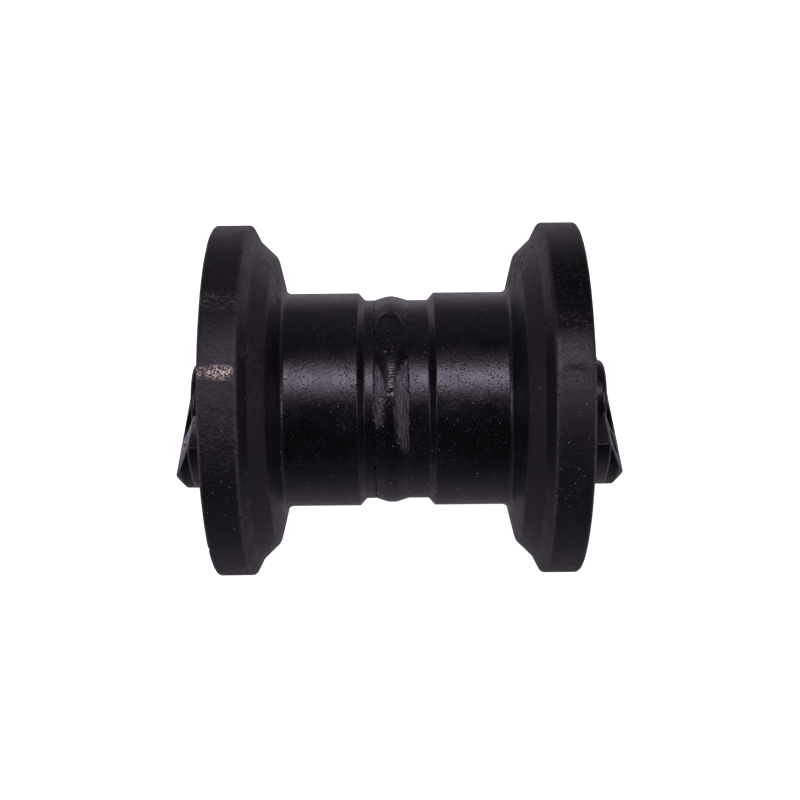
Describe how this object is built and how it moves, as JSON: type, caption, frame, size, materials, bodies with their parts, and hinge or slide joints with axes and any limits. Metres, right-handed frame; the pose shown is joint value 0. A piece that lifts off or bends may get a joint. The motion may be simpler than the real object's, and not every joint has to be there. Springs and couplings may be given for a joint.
{
  "type": "track roller",
  "caption": "Sealed track roller: a welded shell with flanges and treads turns on a fixed shaft held by bevelled D-shaped end collars.",
  "frame": {"origin": "on the roller's axis, midway between the two ends of the shaft assembly, which is the centre of the box", "axes": "+X along the roller's axis, from the plugged end of the shaft to the plain end; +Z is the outward normal of the mounting flats on the end collars"},
  "size_m": [0.1894, 0.15, 0.15],
  "materials": {
    "shell_paint": "semi-gloss black spray paint over forged and turned steel, with casting pits, dust and scuffs",
    "weld_paint": "the same black paint over a rippled weld bead with ground patches",
    "collar_paint": "semi-gloss black paint over cast steel, with a bare rough patch",
    "shaft_steel": "ground steel inside, painted black where the ends show",
    "pin_steel": "bare spring steel",
    "plug_steel": "zinc-plated steel",
    "seal_iron": "lapped hard iron",
    "bearing_bronze": "turned bearing bronze",
    "seal_rubber": "matt nitrile rubber"
  },
  "bodies": {
    "shaft_assembly": {"shaft": "shaft_steel", "oil_plug": "plug_steel", "plug_seal": "seal_rubber", "end_collar_left": "collar_paint", "end_collar_right": "collar_paint", "lock_pin_left": "pin_steel", "lock_pin_right": "pin_steel", "outer_seal_ring_left": "seal_iron", "outer_seal_ring_right": "seal_iron", "outer_seal_rubber_left": "seal_rubber", "outer_seal_rubber_right": "seal_rubber", "shaft_seal_left": "seal_rubber", "shaft_seal_right": "seal_rubber"},
    "roller": {"shell_left": "shell_paint", "shell_right": "shell_paint", "weld_bead": "weld_paint", "bushing_left": "bearing_bronze", "bushing_right": "bearing_bronze", "thrust_washer_left": "bearing_bronze", "thrust_washer_right": "bearing_bronze", "inner_seal_ring_left": "seal_iron", "inner_seal_ring_right": "seal_iron", "inner_seal_rubber_left": "seal_rubber", "inner_seal_rubber_right": "seal_rubber"}
  },
  "joints": [
    {"name": "roller_spin", "type": "hinge", "parent": "shaft_assembly", "child": "roller", "pos_m": [0, 0, 0], "axis": [1, 0, 0], "continuous": true}
  ]
}
